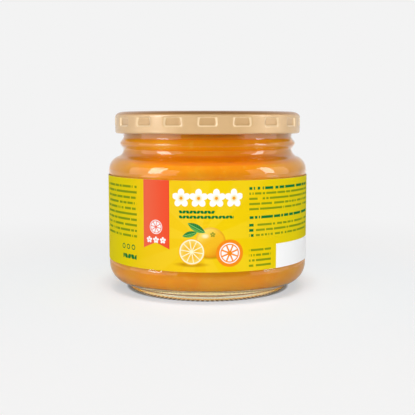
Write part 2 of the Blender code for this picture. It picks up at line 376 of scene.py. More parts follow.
class Number:
    """A number that runs along a material's links, with the sums that a drawing needs."""

    def __init__(self, source):
        self.source = source

    def sum(self, operation, *others):
        inputs = dict(enumerate((self, *others)))
        return Number(grown(self, "ShaderNodeMath", inputs, operation=operation).outputs[0])

    __add__ = partialmethod(sum, "ADD")
    __sub__ = partialmethod(sum, "SUBTRACT")
    __mul__ = partialmethod(sum, "MULTIPLY")
    __truediv__ = partialmethod(sum, "DIVIDE")
    __abs__ = partialmethod(sum, "ABSOLUTE")
    most = partialmethod(sum, "MAXIMUM")
    floor = partialmethod(sum, "FLOOR")
    rest = partialmethod(sum, "FRACT")
    root = partialmethod(sum, "SQRT")
    sine = partialmethod(sum, "SINE")
    cosine = partialmethod(sum, "COSINE")

    def __rsub__(self, other):
        return self * -1.0 + other

    def over(self, other):
        """1 where this number is over the other, else 0."""
        return self.sum("GREATER_THAN", other)

    def turn_from(self, other):
        """The angle of the point (other, self), in radians."""
        return self.sum("ARCTAN2", other)

    def eased(self, low, high, start=0.0, end=1.0):
        """Runs softly from start at low to end at high, also where low is over high."""
        if low > high:
            low, high, start, end = high, low, end, start
        inputs = {"Value": self, "From Min": low, "From Max": high, "To Min": start, "To Max": end}
        node = grown(self, "ShaderNodeMapRange", inputs, interpolation_type="SMOOTHSTEP")
        return Number(node.outputs["Result"])


def far(across, up):
    """Distance from the origin of the point (across, up)."""
    return (across * across + up * up).root()


def inked(distance, blur=0.05):
    """1 inside an outline and 0 outside it, from the distance to it in millimetres."""
    return distance.eased(blur, -blur)


def band(number, low, high, blur):
    """1 between low and high and 0 outside them."""
    return number.eased(low - blur, low + blur) * number.eased(high + blur, high - blur)


def between(u, left, right):
    """1 between two upright lines of the print."""
    return inked(abs(u - (left + right) / 2) - (right - left) / 2)


def turned_axes(across, up, angle_deg):
    """The same point on axes turned by an angle."""
    turn = math.radians(angle_deg)
    return across * math.cos(turn) + up * math.sin(turn), up * math.cos(turn) - across * math.sin(turn)


def panel_ink(u, v, left, right, low, high):
    """A rectangle with rounded corners."""
    corner = 0.2
    across = (abs(u - (left + right) / 2) - ((right - left) / 2 - corner)).most(0.0)
    up = (abs(v - (low + high) / 2) - ((high - low) / 2 - corner)).most(0.0)
    return inked(far(across, up) - corner)


def oval_distance(across, up, half_across, half_up):
    return (far(across / half_across, up / half_up) - 1.0) * min(half_across, half_up)


def leaf_distance(across, up, half_length, half_width):
    """Distance to a pointed leaf that lies along the first axis."""
    part = across / half_length
    return abs(up) - (1.0 - part * part) * half_width


class Print:
    """A coloured print that is laid down ink by ink."""

    def __init__(self, near, paper):
        self.source = grown(near, "ShaderNodeRGB", {}).outputs[0]
        self.source.default_value = (*paper, 1.0)

    def lay(self, ink, mask):
        """Lays an ink, plain or shaded, over the print where its mask is 1."""
        inputs = {0: mask, 6: self, 7: ink if isinstance(ink, Print) else (*ink, 1.0)}
        node = grown(self, "ShaderNodeMix", inputs, data_type="RGBA", clamp_factor=True)
        self.source = node.outputs[2]
        return self


def tinted(colour, shares):
    """A colour with each channel times its share."""
    return tuple(channel * share for channel, share in zip(colour, shares))


def noise(vector, **values):
    """Soft noise; a value's name is its socket's name."""
    inputs = {name.title(): value for name, value in values.items()}
    return Number(grown(vector, "ShaderNodeTexNoise", {"Vector": vector, **inputs}).outputs[0])


def axes_of(place):
    """The three coordinates of a place."""
    return [Number(socket) for socket in grown(place, "ShaderNodeSeparateXYZ", {0: place}).outputs]


def ray_kind(near, kind):
    """1 for the rays of one kind, such as Shadow, else 0."""
    return Number(grown(near, "ShaderNodeLightPath", {}).outputs[f"Is {kind} Ray"])


def combined(x, y):
    """The flat place (x, y) of two numbers."""
    return grown(x, "ShaderNodeCombineXYZ", {0: x, 1: y}).outputs[0]


def bump(shader, height, distance, strength):
    """Fine relief by a height of 0 to 1 times the distance."""
    inputs = {"Strength": strength, "Distance": distance, "Height": height}
    plug(grown(shader, "ShaderNodeBump", inputs).outputs["Normal"], shader.inputs["Normal"])


def blend(share, first, second):
    """Ends a material in a mix of two shaders: the share says how much of the second."""
    shaders = {0: share, 1: first.outputs[0], 2: second.outputs[0]}
    mixed = grown(first, "ShaderNodeMixShader", shaders).outputs[0]
    plug(mixed, first.id_data.nodes["Material Output"].inputs["Surface"])


def new_surface(name, **values):
    """A Principled material with its shader and place; a value's name is its socket's, _ for a space."""
    made = bpy.data.materials.new(name)
    made.use_nodes = True
    shader = made.node_tree.nodes["Principled BSDF"]
    wanted = {key.replace("_", " "): value for key, value in values.items()}
    for socket in shader.inputs:
        if socket.name.lower() in wanted:
            socket.default_value = wanted.pop(socket.name.lower())
    if wanted:
        raise ValueError(f"{name} has no socket for {sorted(wanted)}")
    return made, shader, grown(shader, "ShaderNodeTexCoord", {}).outputs["Object"]


def clear_glass(settings):
    """Moulded glass: clear, faintly green, with the slow waves of a pressed wall."""
    tint = (*settings.tint, 1.0)
    made, shader, place = new_surface(
        "clear_glass", base_color=tint, roughness=0.012, ior=1.5, transmission_weight=1.0
    )
    bump(shader, noise(place, scale=70.0, detail=1.0), 0.25 * MM, 0.35)
    through = grown(shader, "ShaderNodeBsdfTransparent", {"Color": tint})
    blend(ray_kind(shader, "Shadow"), shader, through)
    return made


def citrus_jelly(settings):
    """Thick orange jelly with milky clouds and fine pulp, with painted shade: deeper rings round the neck,
    and duller towards its sides.
    """
    made, shader, place = new_surface(
        "citrus_preserve",
        roughness=0.5,
        specular_ior_level=0.04,
        subsurface_weight=0.25,
        subsurface_radius=(1.0, 0.55, 0.1),
        subsurface_scale=4.0 * MM,
    )
    cloud = noise(place, scale=75.0, detail=4.0, roughness=0.6)
    pulp = noise(place, scale=420.0, detail=3.0, roughness=0.55)
    colour = Print(shader, settings.deep)
    colour.lay(settings.pale, cloud.eased(0.36, 0.70) * 0.75)
    colour.lay(srgb(252, 196, 66), pulp.eased(0.56, 0.72) * 0.28)
    x, _, height = axes_of(place)
    # Painted shade round the neck, laid as deeper orange rings
    for low, high, share in NECK_SHADE_RINGS:
        colour.lay(settings.neck_shade, band(height / MM, low, high, 0.2) * share)
    # Painted shade: duller orange towards the sides, more of it higher up
    side = abs(x).eased(16.0 * MM, 40.0 * MM)
    colour.lay(settings.side_shade, side * height.eased(20.0 * MM, 50.0 * MM, 0.5, 0.95))
    plug(colour, shader.inputs["Base Color"])
    bump(shader, pulp, 0.15 * MM, 0.4)
    return made


def gold_lacquer(settings):
    """Champagne gold lacquer, with painted shade and bare metal round the upper edge, a painted highlight
    on the pockets' lips and painted shade in them.
    """
    made, shader, place = new_surface(
        "gold_lacquer", coat_weight=0.75, coat_roughness=0.2, coat_ior=1.5
    )
    tone = noise(place, scale=140.0, detail=3.0)
    colour = Print(shader, settings.gold)
    colour.lay(tinted(settings.gold, (0.9, 0.9, 0.9)), tone.eased(0.35, 0.75) * 0.6)
    x, y, z = axes_of(place)
    # Round the upper edge: painted shade, a darker brown, and more metallic there as bare metal
    edge = z.eased(LID_HIGH.z - 2.1 * MM, LID_HIGH.z - 1.0 * MM) * far(x, y).eased(37.0 * MM, 38.4 * MM)
    colour.lay(srgb(190, 136, 74), edge)
    depth = (settings.outer_r - far(x, y)) / MM
    skirt = band(z, LID_LOW.z + 2.7 * MM, LID_LOW.z + 7.1 * MM, 0.2 * MM)
    # Painted shade on the floors of the pockets
    colour.lay(srgb(196, 150, 92), depth.eased(0.5, 0.65) * skirt * 0.3)
    # Painted highlight on the lips of the pockets
    colour.lay(srgb(255, 228, 182), band(depth, 0.12, 0.6, 0.06) * skirt * 0.7)
    plug(edge * 0.8 + 0.08, shader.inputs["Metallic"])
    plug(colour, shader.inputs["Base Color"])
    plug(tone.eased(0.3, 0.7, 0.55, 0.62), shader.inputs["Roughness"])
    bump(shader, noise(place, scale=1500.0, detail=2.0), 0.02 * MM, 0.25)
    return made


def sealing_compound():
    """Cream sealing compound with a faintly uneven, matt surface."""
    made, shader, place = new_surface("sealing_compound", roughness=0.6)
    grain = noise(place, scale=900.0, detail=3.0)
    colour = Print(shader, srgb(226, 220, 204)).lay(srgb(206, 198, 180), grain.eased(0.35, 0.7) * 0.5)
    plug(colour, shader.inputs["Base Color"])
    bump(shader, grain, 0.05 * MM, 0.4)
    return made


def label_paper_back():
    """Uncoated white paper, on the glued side and the cut edges."""
    made, shader, place = new_surface("label_paper_back", roughness=0.75)
    tone = noise(place, scale=1800.0, detail=4.0).eased(0.4, 0.7)
    colour = Print(shader, srgb(240, 238, 230)).lay(srgb(222, 218, 206), tone * 0.6)
    plug(colour, shader.inputs["Base Color"])
    return made


def blossom_masks(u, v, centre_u, centre_v, reach):
    """(petals, eye) of a five-petalled blossom with one petal upright."""
    across, up = u - centre_u, v - centre_v
    slice_rad = 2.0 * math.pi / 5
    turn = up.turn_from(across) + math.radians(270.0)
    fold = (turn / slice_rad + 0.5).rest() * slice_rad - slice_rad / 2
    radius = far(across, up)
    along, beside = radius * fold.cosine(), radius * fold.sine()
    petals = inked(oval_distance(along - reach * 0.58, beside, reach * 0.42, reach * 0.345))
    return petals, inked(radius - reach * 0.16)


def wheel_masks(u, v, centre_u, centre_v, slices, spin_deg):
    """(distance from the middle, distance into a slice) of a cut citrus wheel."""
    across, up = u - centre_u, v - centre_v
    reach = far(across, up)
    turn = up.turn_from(across) + math.radians(360.0 + spin_deg)
    fold = (turn * (slices / (2.0 * math.pi))).rest() - 0.5
    return reach, (0.5 - abs(fold)) * reach * (2.0 * math.pi / slices)


def bar_rows(u, v, left, right, high, pitch, rows, seed, height):
    """Rows of plain bars of uneven length, from a height down."""
    row = (high - v) / pitch
    cells = combined((u / BAR_CELL).floor(), row.floor() + seed)
    dice = grown(u, "ShaderNodeTexWhiteNoise", {"Vector": cells}, noise_dimensions="2D")
    filled = Number(dice.outputs["Value"]).over(0.16)
    bar = inked(abs(row.rest() - 0.5) - height / 2)
    block = row.over(0.0) * (rows - row).over(0.0)
    return bar * filled * block * between(u, left, right)


def leaf_row(u, v, left, right, middle, pitch):
    """A row of small plump leaves, tilted by turns to either side."""
    cell = u / pitch
    across = (cell.rest() - 0.5) * pitch
    side = (cell.floor() * 0.5).rest().over(0.25) * 2.0 - 1.0
    along, beside = turned_axes(across, (v - middle) * side, 38.0)
    leaf = inked(leaf_distance(along, beside, pitch * 0.6, pitch * 0.42))
    return leaf * between(u, left, right)


def paint_field(u, v, settings):
    """Yellow ground, warmer behind the fruit, cooler at the sides partly as print and partly as painted
    shade, with broad soft rays.
    """
    ground = Print(u, settings.yellow)
    # Cooler lime at the sides: partly the print's own, partly painted shade
    cooler = u.eased(-26.0, -46.0).most(u.eased(16.0, 42.0) * 0.8)
    ground.lay(settings.lime, cooler)
    # Painted shade: darker olive towards the right side
    ground.lay(srgb(188, 184, 2), u.eased(44.0, 64.0) * 0.5)
    warmer = abs(u + 13.0).eased(27.0, 7.0) * (u + v * 0.32).eased(8.5, 6.5)
    ground.lay(settings.amber, warmer * 0.85)
    across, up = u + 3.0, v - 14.0
    rays = (up.turn_from(across) * 9.0).sine().eased(-0.3, 0.3)
    ground.lay(srgb(255, 226, 70), rays * far(across, up).eased(52.0, 8.0) * 0.16)
    return ground


def paint_ribbon(ground, u, v, settings, top):
    """Red ribbon with a swallow tail, a small cut fruit and three blossoms."""
    left, right, end = -28.9, -16.2, 8.9
    middle = (left + right) / 2
    wheel_v, blossoms_v, blossom_pitch = 18.4, 12.9, 3.3
    notch = abs(u - middle) * -0.42 + 3.0 + end
    shape = between(u, left, right) * inked((notch - v) * 0.9) * inked(v - top)
    ribbon = Print(u, settings.red)
    ribbon.lay(srgb(242, 112, 80), u.eased(right, left) * 0.7)
    ribbon.lay(srgb(214, 58, 34), inked(abs(u - right) - 0.35, 0.3) * 0.5)
    reach, skin = wheel_masks(u, v, middle, wheel_v, 8, 12.0)
    pulp = inked(reach - 2.4) * skin.eased(0.10, 0.20) * inked(0.45 - reach)
    marks = inked(abs(reach - 2.85) - 0.16).most(pulp)
    for index in (-1, 0, 1):
        petals, eye = blossom_masks(u, v, middle + blossom_pitch * index, blossoms_v, 1.45)
        marks = marks.most(petals * (1.0 - eye))
    ribbon.lay(WHITE, marks * 0.93)
    ground.lay(ribbon, shape)


def paint_blossoms(ground, u, v, settings):
    """Four large white blossoms, with two rows of small leaves below them."""
    pitch, start, middle_v = 7.35, -14.7, 30.9
    inside = inked(abs(u - (start + 2 * pitch)) - 2 * pitch + 0.02)
    across = (((u - start) / pitch).rest() - 0.5) * pitch
    petals, eye = blossom_masks(across, v, 0.0, middle_v, 3.95)
    petals = petals * inside
    ground.lay(srgb(255, 255, 252), petals)
    ground.lay(srgb(246, 226, 150), inked(far(across, v - middle_v) - 1.35, 0.5) * petals * 0.7)
    ground.lay(srgb(243, 160, 30), eye * inside)
    leaves = leaf_row(u, v, -12.0, 3.1, 25.2, 1.5).most(leaf_row(u, v, -12.0, 10.9, 23.1, 1.5))
    ground.lay(settings.leaf, leaves)


def paint_leaf(ground, u, v, centre, half_length, half_width, angle_deg):
    """One shaded leaf with its ribs."""
    along, beside = turned_axes(u - centre[0], v - centre[1], angle_deg)
    shape = inked(leaf_distance(along, beside, half_length, half_width))
    leaf = Print(u, srgb(34, 128, 58))
    leaf.lay(srgb(108, 186, 86), beside.eased(-half_width * 0.2, half_width) * 0.8)
    rib = inked(abs(beside) - 0.09)
    side = ((along - abs(beside) * 0.9) / 0.95).rest()
    ribs = abs(side - 0.5).eased(0.09, 0.03)
    leaf.lay(srgb(150, 208, 118), rib.most(ribs * 0.45))
    ground.lay(leaf, shape)


def paint_whole_fruit(ground, u, v, centre, radius):
    """A round fruit, lit from the upper left, with a pored skin."""
    across, up = (u - centre[0]) / radius, (v - centre[1]) / radius
    part = far(across, up)
    light = across * -0.45 + up * 0.62 + 0.25
    fruit = Print(u, srgb(246, 190, 36))
    fruit.lay(srgb(255, 226, 104), light.eased(0.25, 0.95) * 0.9)
    fruit.lay(srgb(228, 138, 18), light.eased(0.15, -0.55) * 0.75)
    fruit.lay(srgb(214, 118, 14), part.eased(0.82, 1.02) * 0.45)
    skin = {"Scale": 1.7, "Vector": combined(u, v)}
    pores = grown(u, "ShaderNodeTexVoronoi", skin, voronoi_dimensions="2D")
    fruit.lay(srgb(232, 158, 22), Number(pores.outputs["Distance"]).eased(0.22, 0.08) * 0.35)
    gleam = oval_distance(across + 0.36, up - 0.42, 0.2, 0.13).eased(0.08, -0.08)
    fruit.lay(srgb(255, 246, 196), gleam * 0.8)
    star, _ = blossom_masks(across * 10.0, up * 10.0, 1.4, 5.2, 1.8)
    fruit.lay(srgb(120, 140, 40), star * 0.8)
    ground.lay(fruit, inked(part * radius - radius))


def paint_cut_fruit(ground, u, v, centre, radius):
    """The cut face of a fruit: rind, pith, ten slices of pulp and a pale core."""
    reach, skin = wheel_masks(u, v, *centre, 10, 8.0)
    face = Print(u, srgb(246, 186, 30))
    face.lay(srgb(255, 246, 206), inked(reach - radius * 0.93))
    pulp = Print(u, srgb(250, 206, 70))
    streaks = noise(combined(reach / radius * 2.0, skin * 3.0), scale=2.2)
    pulp.lay(srgb(240, 168, 26), streaks.eased(0.4, 0.7) * 0.7)
    pulp.lay(srgb(255, 232, 140), reach.eased(radius * 0.5, radius * 0.9) * 0.5)
    slices = inked(reach - radius * 0.83) * skin.eased(0.12, 0.26)
    face.lay(pulp, slices * inked(radius * 0.12 - reach))
    ground.lay(face, inked(reach - radius))


def paint_picture(ground, u, v):
    """One whole fruit behind a cut one, with a pair of leaves and soft shadows."""
    for centre, reach in (((-6.9, 3.2), 5.6), ((1.6, 6.6), 5.2)):
        shade = oval_distance(u - centre[0], v - centre[1], reach, 0.85).eased(0.5, -0.4)
        ground.lay(srgb(190, 128, 10), shade * 0.7)
    paint_whole_fruit(ground, u, v, (1.3, 12.6), 6.3)
    paint_leaf(ground, u, v, (-4.6, 18.6), 4.2, 1.55, 152.0)
    paint_leaf(ground, u, v, (-7.4, 15.9), 3.3, 1.25, 196.0)
    paint_cut_fruit(ground, u, v, (-6.6, 8.6), 5.6)


def paint_badge(ground, u, v, settings):
    """Plain orange disc with a cut fruit in white line."""
    reach, skin = wheel_masks(u, v, 9.3, 8.0, 8, 22.5)
    ground.lay(settings.orange, inked(reach - 5.75))
    slices = inked(reach - 3.45) * skin.eased(0.28, 0.38) * inked(1.0 - reach)
    ground.lay(WHITE, inked(abs(reach - 4.15) - 0.2).most(slices) * 0.95)


def paint_bars(ground, u, v, settings):
    """Rows of plain bars on both sides and at the back, two blank panels and small ornaments."""
    faint = [bar_rows(u, v, *block, 0.42) for block in FAINT_BARS]
    ground.lay(settings.green, reduce(Number.most, faint) * 0.78)
    strong = [bar_rows(u, v, *block, 0.54) for block in STRONG_BARS]
    strong.append(leaf_row(u, v, -42.6, -33.2, 4.4, 2.3))
    strong += [inked(abs(far(u - ring_u, v - 8.6) - 0.95) - 0.22) for ring_u in RINGS_U]
    ground.lay(settings.leaf, reduce(Number.most, strong))
    ground.lay(srgb(255, 255, 255), panel_ink(u, v, 31.8, 66.0, -2.0, 10.5))
    ground.lay(srgb(247, 247, 248), panel_ink(u, v, 78.0, 118.0, 3.0, 12.0))


def label_print(settings):
    """The printed, coated face of the label, drawn in millimetres along and up the wrap."""
    made, shader, place = new_surface("label_paper", roughness=0.65, specular_ior_level=0.02)
    x, y, z = axes_of(place)
    u = x.turn_from(y * -1.0) * (settings.outer_r / MM)
    v = (z - settings.low_h) / MM
    ground = paint_field(u, v, settings)
    paint_bars(ground, u, v, settings)
    paint_blossoms(ground, u, v, settings)
    paint_picture(ground, u, v)
    paint_badge(ground, u, v, settings)
    paint_ribbon(ground, u, v, settings, (settings.high_h - settings.low_h) / MM + 1.0)
    plug(ground, shader.inputs["Base Color"])
    bump(shader, noise(place, scale=2600.0, detail=2.0), 0.01 * MM, 0.3)
    return made


def painted_foot_shadow(out, around, ribs):
    """Painted contact shadow of the base ring and its ribs on the floor."""
    ribbed = (around * ribs).cosine().eased(-0.4, 0.6)
    return out.eased(34.7, 35.5) * out.eased(38.5, 36.9) * (ribbed * 0.35 + 0.65)


def floor_level(out, front, share, settings):
    """The floor's glow: as the backdrop far off, weaker near the jar, with painted light under its foot and
    in front of it, where the jar's shadow falls.
    """
    level = ((share - 1.0) * settings.floor_light + 1.0) / share
    level = level + out.eased(36.2, 34.5, 0.0, 1.4) - out.eased(33.8, 31.5, 0.0, 0.8)
    overhang = out.eased(60.0, 46.0) * out.eased(35.0, 37.0)
    # Painted light: more glow in front of the foot, under the jar's overhang
    return level + overhang * front.eased(-0.6, -0.95) * 0.2


def floor_in_rays(out, around):
    """How much of the glow rays see: little if mirrored, but for two strips, and more through the glass."""
    glare = abs(around).eased(0.6, 0.9) * out.eased(120.0, 200.0)
    for middle, half, level in GLARE_STRIPS:
        glare = glare + abs(around - middle).eased(half, 0.10) * band(out, 160.0, 500.0, 50.0) * level
    mirrored = ray_kind(out, "Glossy") * out.eased(35.8, 36.8)
    bounced = ray_kind(out, "Transmission") * out.eased(180.0, 80.0) * out.eased(37.0, 40.0)
    return mirrored * (glare - 0.8) + 1.0 + bounced * 0.5


def studio_floor(settings, ribs):
    """Pale matt floor that runs out into plain light away from the jar.

    It is drawn by the distance from the jar's axis in millimetres and the turn from the front.
    """
    made, shader, place = new_surface("studio_floor", roughness=0.9, specular_ior_level=0.1)
    x, y, _ = axes_of(place)
    out, around, plain = far(x, y) / MM, x.turn_from(y * -1.0), settings.floor_colour
    foot_shadow = painted_foot_shadow(out, around, ribs)
    grain = noise(place, scale=60.0, detail=2.0).eased(0.3, 0.7)
    colour = Print(shader, plain).lay(tinted(plain, (0.995, 0.995, 0.995)), grain)
    # Painted cooler tint near the jar, against the warm light that the jar bounces onto the floor
    colour.lay(tinted(plain, (0.95, 0.995, 1.055)), out.eased(160.0, 70.0))
    # Painted contact shadow: a dark ring under the base ring, which also dims the glow
    colour.lay((0.16, 0.16, 0.13), foot_shadow * 0.8)
    plug(colour, shader.inputs["Base Color"])
    # Painted shadow: the glow turns greyer beside the foot; painted light: it turns warm yellow under the
    # foot, to light the glass base
    cast = Print(shader, plain).lay(tinted(plain, (0.75, 0.83, 0.91)), out.eased(49.0, 39.0))
    cast.lay((1.0, 0.86, 0.44), out.eased(36.5, 35.3))
    share = out.eased(60.0, 300.0, settings.floor_glow, 1.0)
    level = floor_level(out, y / MM / out, share, settings) * (1.0 - foot_shadow)
    light = {"Color": cast, "Strength": level * floor_in_rays(out, around)}
    blend(share, shader, grown(shader, "ShaderNodeEmission", light))
    return made


def glass_outline(settings):
    """From the middle of the base over foot, heel, body and neck to the rim, then back inside."""
    body_r, neck_r, foot_r = settings.body_r, settings.neck_r, settings.foot_r
    panel_r = body_r - 0.35 * MM
    bearing_out = foot_r - FOOT_EDGE
    hollow_r, hollow_edge_h, hollow_h = 32.2 * MM, 1.7 * MM, 2.6 * MM
    foot_h, foot_fillet = 1.92 * MM, 0.8 * MM
    heel_r, heel_h = 8.8 * MM, 11.6 * MM
    neck_fillet = 3.4 * MM
    bead_h, bead_half_h = 66.6 * MM, 2.55 * MM
    step_in, step_out = 0.3 * MM, 0.65 * MM
    points = []
    for i in range(13):
        r = hollow_r * i / 12
        points.append((r, hollow_h - (hollow_h - hollow_edge_h) * (r / hollow_r) ** 2))
    points += eased((hollow_r, hollow_edge_h), (BEARING_IN_R, 0.0), 6)
    points += straight((BEARING_IN_R, 0.0), (bearing_out, 0.0), 6)
    points += arc(bearing_out, FOOT_EDGE, FOOT_EDGE, -90.0, 0.0, 6)
    points += straight(points[-1], (foot_r, foot_h), 4)
    points += arc(foot_r + foot_fillet, foot_h, foot_fillet, 180.0, 100.0, 5)
    points += arc(body_r - heel_r, heel_h, heel_r, -80.0, 0.0, 18)
    points += eased_side(body_r, LABEL_LOW.z - step_out, panel_r, LABEL_LOW.z - step_in)
    points += straight(points[-1], (panel_r, LABEL_HIGH.z + step_in), 4)
    points += eased_side(panel_r, LABEL_HIGH.z + step_in, body_r, LABEL_HIGH.z + step_out)
    points += arc(body_r - SHOULDER_R, SHOULDER_H, SHOULDER_R, 0.0, SHOULDER_TURN_DEG, 16)
    points += arc(neck_r + neck_fillet, NECK_FILLET_H, neck_fillet, 180.0 + SHOULDER_TURN_DEG, 180.0, 9)
    for i in range(21):
        across = -1.0 + 2.0 * i / 20
        swell = max(0.0, math.cos(across * math.pi / 2)) ** 1.5
        points.append((neck_r + (settings.bead_r - neck_r) * swell, bead_h + across * bead_half_h))
    rim_h = settings.rim_h - RIM_EDGE
    points += straight(points[-1], (neck_r, rim_h), 30)
    points += arc(neck_r - RIM_EDGE, rim_h, RIM_EDGE, 0.0, 90.0, 7)
    points += arc(settings.mouth_r + RIM_EDGE, rim_h, RIM_EDGE, 90.0, 180.0, 7)
    return points + chamber_outline(settings, 0.0)


def eased_side(start_r, start_h, end_r, end_h):
    """A soft step between two upright stretches of an outline."""
    return [(r, h) for h, r in eased((start_h, start_r), (end_h, end_r), 5)]


def chamber_outline(settings, out, floor_out=0.0):
    """The inside of the glass from the neck down to the floor, moved out into the wall by a little.

    Past WETTED_DEG round the heel, and over the floor, it is moved by floor_out instead.
    """
    inner_r = settings.body_r - settings.wall + out
    fillet_r = 5.4 * MM - out
    shoulder_r = SHOULDER_R - settings.wall + out
    heel_r, heel_low_h, crown = 6.8 * MM, 5.2 * MM, 0.6 * MM
    turn_deg = 180.0 + SHOULDER_TURN_DEG
    points = arc(settings.mouth_r + out + fillet_r, NECK_FILLET_H, fillet_r, 180.0, turn_deg, 12)
    points += arc(inner_r - shoulder_r, SHOULDER_H, shoulder_r, SHOULDER_TURN_DEG, 0.0, 12)
    heel_mid_r, heel_mid_h = inner_r - out - heel_r, heel_low_h + heel_r
    points += arc(heel_mid_r, heel_mid_h, heel_r + out, 0.0, WETTED_DEG, 9)
    points += arc(heel_mid_r, heel_mid_h, heel_r + floor_out, WETTED_DEG - 2.0, -90.0, 7)
    edge_r = points[-1][0]
    for i in range(1, 9):
        r = edge_r * (1.0 - i / 8)
        points.append((r, heel_low_h - floor_out + crown * (1.0 - (r / edge_r) ** 2) ** 2))
    return points


def raise_threads(mesh, settings):
    """Six ridges that climb anticlockwise on the outside of the neck."""
    for vert in mesh.verts:
        radius, angle, height = round_place(vert)
        if radius < settings.neck_r - WELD or not THREADS_FROM_H < height < settings.rim_h - RIM_EDGE:
            continue
        along = (angle + THREAD_BACK_DEG) % LUG_PITCH_DEG
        if along > THREAD_SPAN_DEG:
            continue
        middle = THREAD_MID_H + THREAD_LEAD * (along - THREAD_BACK_DEG) / 360.0
        across = (height - middle) / THREAD_HALF_H
        if abs(across) >= 1.0:
            continue
        fade = smooth(along, 0.0, THREAD_FADE_DEG) * smooth(THREAD_SPAN_DEG - along, 0.0, THREAD_FADE_DEG)
        ridge = math.cos(across * math.pi / 2) ** 1.2
        move_point(vert, radius + settings.thread_rise * ridge * fade, angle, height)


def rib_base(mesh, settings):
    """Small ribs under and round the base ring, which keep the jar off a wet table."""
    groove, top_h = 0.35 * MM, 1.0 * MM
    for vert in mesh.verts:
        radius, angle, height = round_place(vert)
        if radius < BEARING_IN_R + 0.2 * MM or height > top_h:
            continue
        wave = 0.5 - 0.5 * math.cos(math.radians(angle - FRONT_DEG) * settings.ribs)
        deep = groove * wave * smooth(height, top_h, 0.3 * MM)
        outer = smooth(radius, settings.foot_r - FOOT_EDGE, settings.foot_r)
        move_point(vert, radius - deep * outer, angle, height + deep * (1.0 - outer))


def quarter(middle_r, middle_h, reach_r, reach_h, steps):
    """Points of a quarter oval, from straight above its middle to straight outside it."""
    turns = [math.radians(90.0 * i / steps) for i in range(steps + 1)]
    return [(middle_r + reach_r * math.sin(t), middle_h + reach_h * math.cos(t)) for t in turns]


def lid_outline(settings):
    """From the middle of the top, over the channel, down the skirt, round the curl and back inside."""
    height, wall, outer_r = settings.height, settings.wall, settings.outer_r
    inner_r = outer_r - wall
    panel_h, panel_r = height - 1.15 * MM, 34.6 * MM
    button_r, step_r, rise, dish = 15.5 * MM, 17.0 * MM, 0.3 * MM, 0.35 * MM
    bead_r, bead_half, bead_rise = 31.0 * MM, 0.8 * MM, 0.18 * MM
    ring_r, ring_out, slack = 36.5 * MM, 38.6 * MM, 0.1 * MM
    corner_h, skirt_low_h, inside_low_h = 7.3 * MM, 2.4 * MM, 1.9 * MM
    top = []
    for i in range(9):
        part = i / 8
        top.append((button_r * part, panel_h - dish + (rise + dish) * part * part))
    top += eased((button_r, panel_h + rise), (step_r, panel_h), 6)
    top += eased((bead_r - bead_half, panel_h), (bead_r, panel_h + bead_rise), 4)
    top += eased((bead_r, panel_h + bead_rise), (bead_r + bead_half, panel_h), 4)
    top += eased((panel_r, panel_h), (ring_r, height), 10)
    top += quarter(ring_out, corner_h, outer_r - ring_out, height - corner_h, 14)
    skirt = straight((outer_r, corner_h), (outer_r, skirt_low_h), 22)
    curl = arc(outer_r - CURL_SET_BACK - CURL_R, CURL_R, CURL_R, 12.0, -205.0, 22)
    inside = straight((inner_r, inside_low_h), (inner_r, corner_h), 22)
    inside += quarter(ring_out, corner_h, inner_r - ring_out, height - wall - corner_h, 8)[::-1]
    under = eased((ring_r + slack, height - wall), (panel_r + slack, panel_h - wall), 8)
    under += [(step_r, panel_h - wall), (button_r, panel_h - wall + rise)]
    return top + skirt + curl + inside + under + [(0.0, panel_h - dish - wall)]


def press_pockets(mesh, settings):
    """Sinks the pockets into the skirt, deepest near their lower lips, most steps being in their walls."""
    top_h, deep_top_h, deep_low_h, low_h = POCKET_HEIGHTS
    for vert in mesh.verts:
        radius, angle, height = round_place(vert)
        side_off = (angle - FRONT_DEG + POCKET_PITCH_DEG / 2) % POCKET_PITCH_DEG - POCKET_PITCH_DEG / 2
        off = abs(side_off)
        if off < POCKET_PITCH_DEG / 8:
            off *= 8.0 * POCKET_FLOOR_DEG / POCKET_PITCH_DEG
        elif off < POCKET_PITCH_DEG * 3 / 8:
            off = POCKET_FLOOR_DEG + (off * 4.0 / POCKET_PITCH_DEG - 0.5) * POCKET_WALL_DEG
        else:
            land = POCKET_PITCH_DEG / 2 - POCKET_FLOOR_DEG - POCKET_WALL_DEG
            off = POCKET_PITCH_DEG / 2 - (4.0 - off * 8.0 / POCKET_PITCH_DEG) * land
        angle += math.copysign(off, side_off) - side_off
        if radius < settings.outer_r - 1.2 * settings.wall or not low_h < height < top_h:
            move_point(vert, radius, angle, height)
            continue
        lean = 0.6 + 0.4 * clamp((deep_top_h - height) / (deep_top_h - deep_low_h))
        down = smooth(height, top_h, deep_top_h) * clamp((height - low_h) / (deep_low_h - low_h)) * lean
        side = smooth(off, POCKET_FLOOR_DEG + POCKET_WALL_DEG, POCKET_FLOOR_DEG)
        move_point(vert, radius - settings.pocket_depth * down * side, angle, height)


def draw_lugs(mesh, settings):
    """Flattens the curl inwards into six lugs, which lift its lower edge a little."""
    curl_in_r = settings.outer_r - CURL_SET_BACK - 2 * CURL_R
    full_deg, end_deg, lift, lug_h = 5.5, 10.0, 0.3 * MM, 0.95 * MM
    for vert in mesh.verts:
        radius, angle, height = round_place(vert)
        if height > 1.75 * MM or radius > settings.outer_r - 0.4 * MM:
            continue
        off = abs((angle - FRONT_DEG) % LUG_PITCH_DEG - LUG_PITCH_DEG / 2)
        lug = smooth(off, end_deg, full_deg)
        inward = clamp((curl_in_r + CURL_R - radius) / CURL_R)
        flat = height + (lug_h - height) * 0.45 * lug * inward
        lifted = flat + lift * lug * clamp(1.0 - height / CURL_R) * (1.0 - inward)
        move_point(vert, radius - (curl_in_r - settings.lug_in_r) * lug * inward, angle, lifted)


